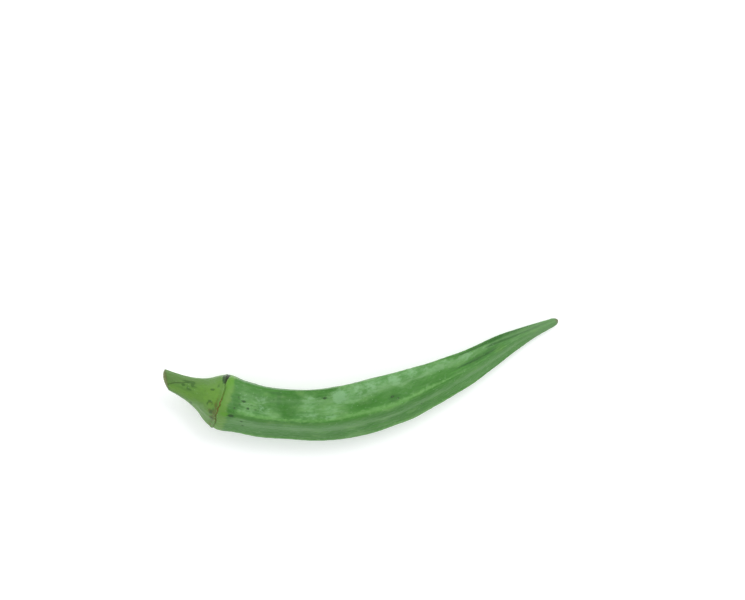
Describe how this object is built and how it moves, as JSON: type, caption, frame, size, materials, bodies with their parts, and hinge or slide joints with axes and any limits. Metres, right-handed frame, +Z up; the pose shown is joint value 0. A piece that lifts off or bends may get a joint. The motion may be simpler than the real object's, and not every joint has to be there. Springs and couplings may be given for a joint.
{
  "type": "okra pod",
  "caption": "Fresh okra pod: a curved, ridged green pod that tapers to a blunt tip, with its cap and a short cut stem, lying on one ridge.",
  "frame": {"origin": "middle of the pod's bounding box, on the plane it rests on", "axes": "+X from the cut stem to the tip, +Y towards the hollow side of the bend, +Z up"},
  "size_m": [0.12, 0.037, 0.0173],
  "materials": {
    "pod_skin": "satin, finely downy green skin"
  },
  "bodies": {
    "root": {"okra_pod": "pod_skin"}
  },
  "joints": []
}
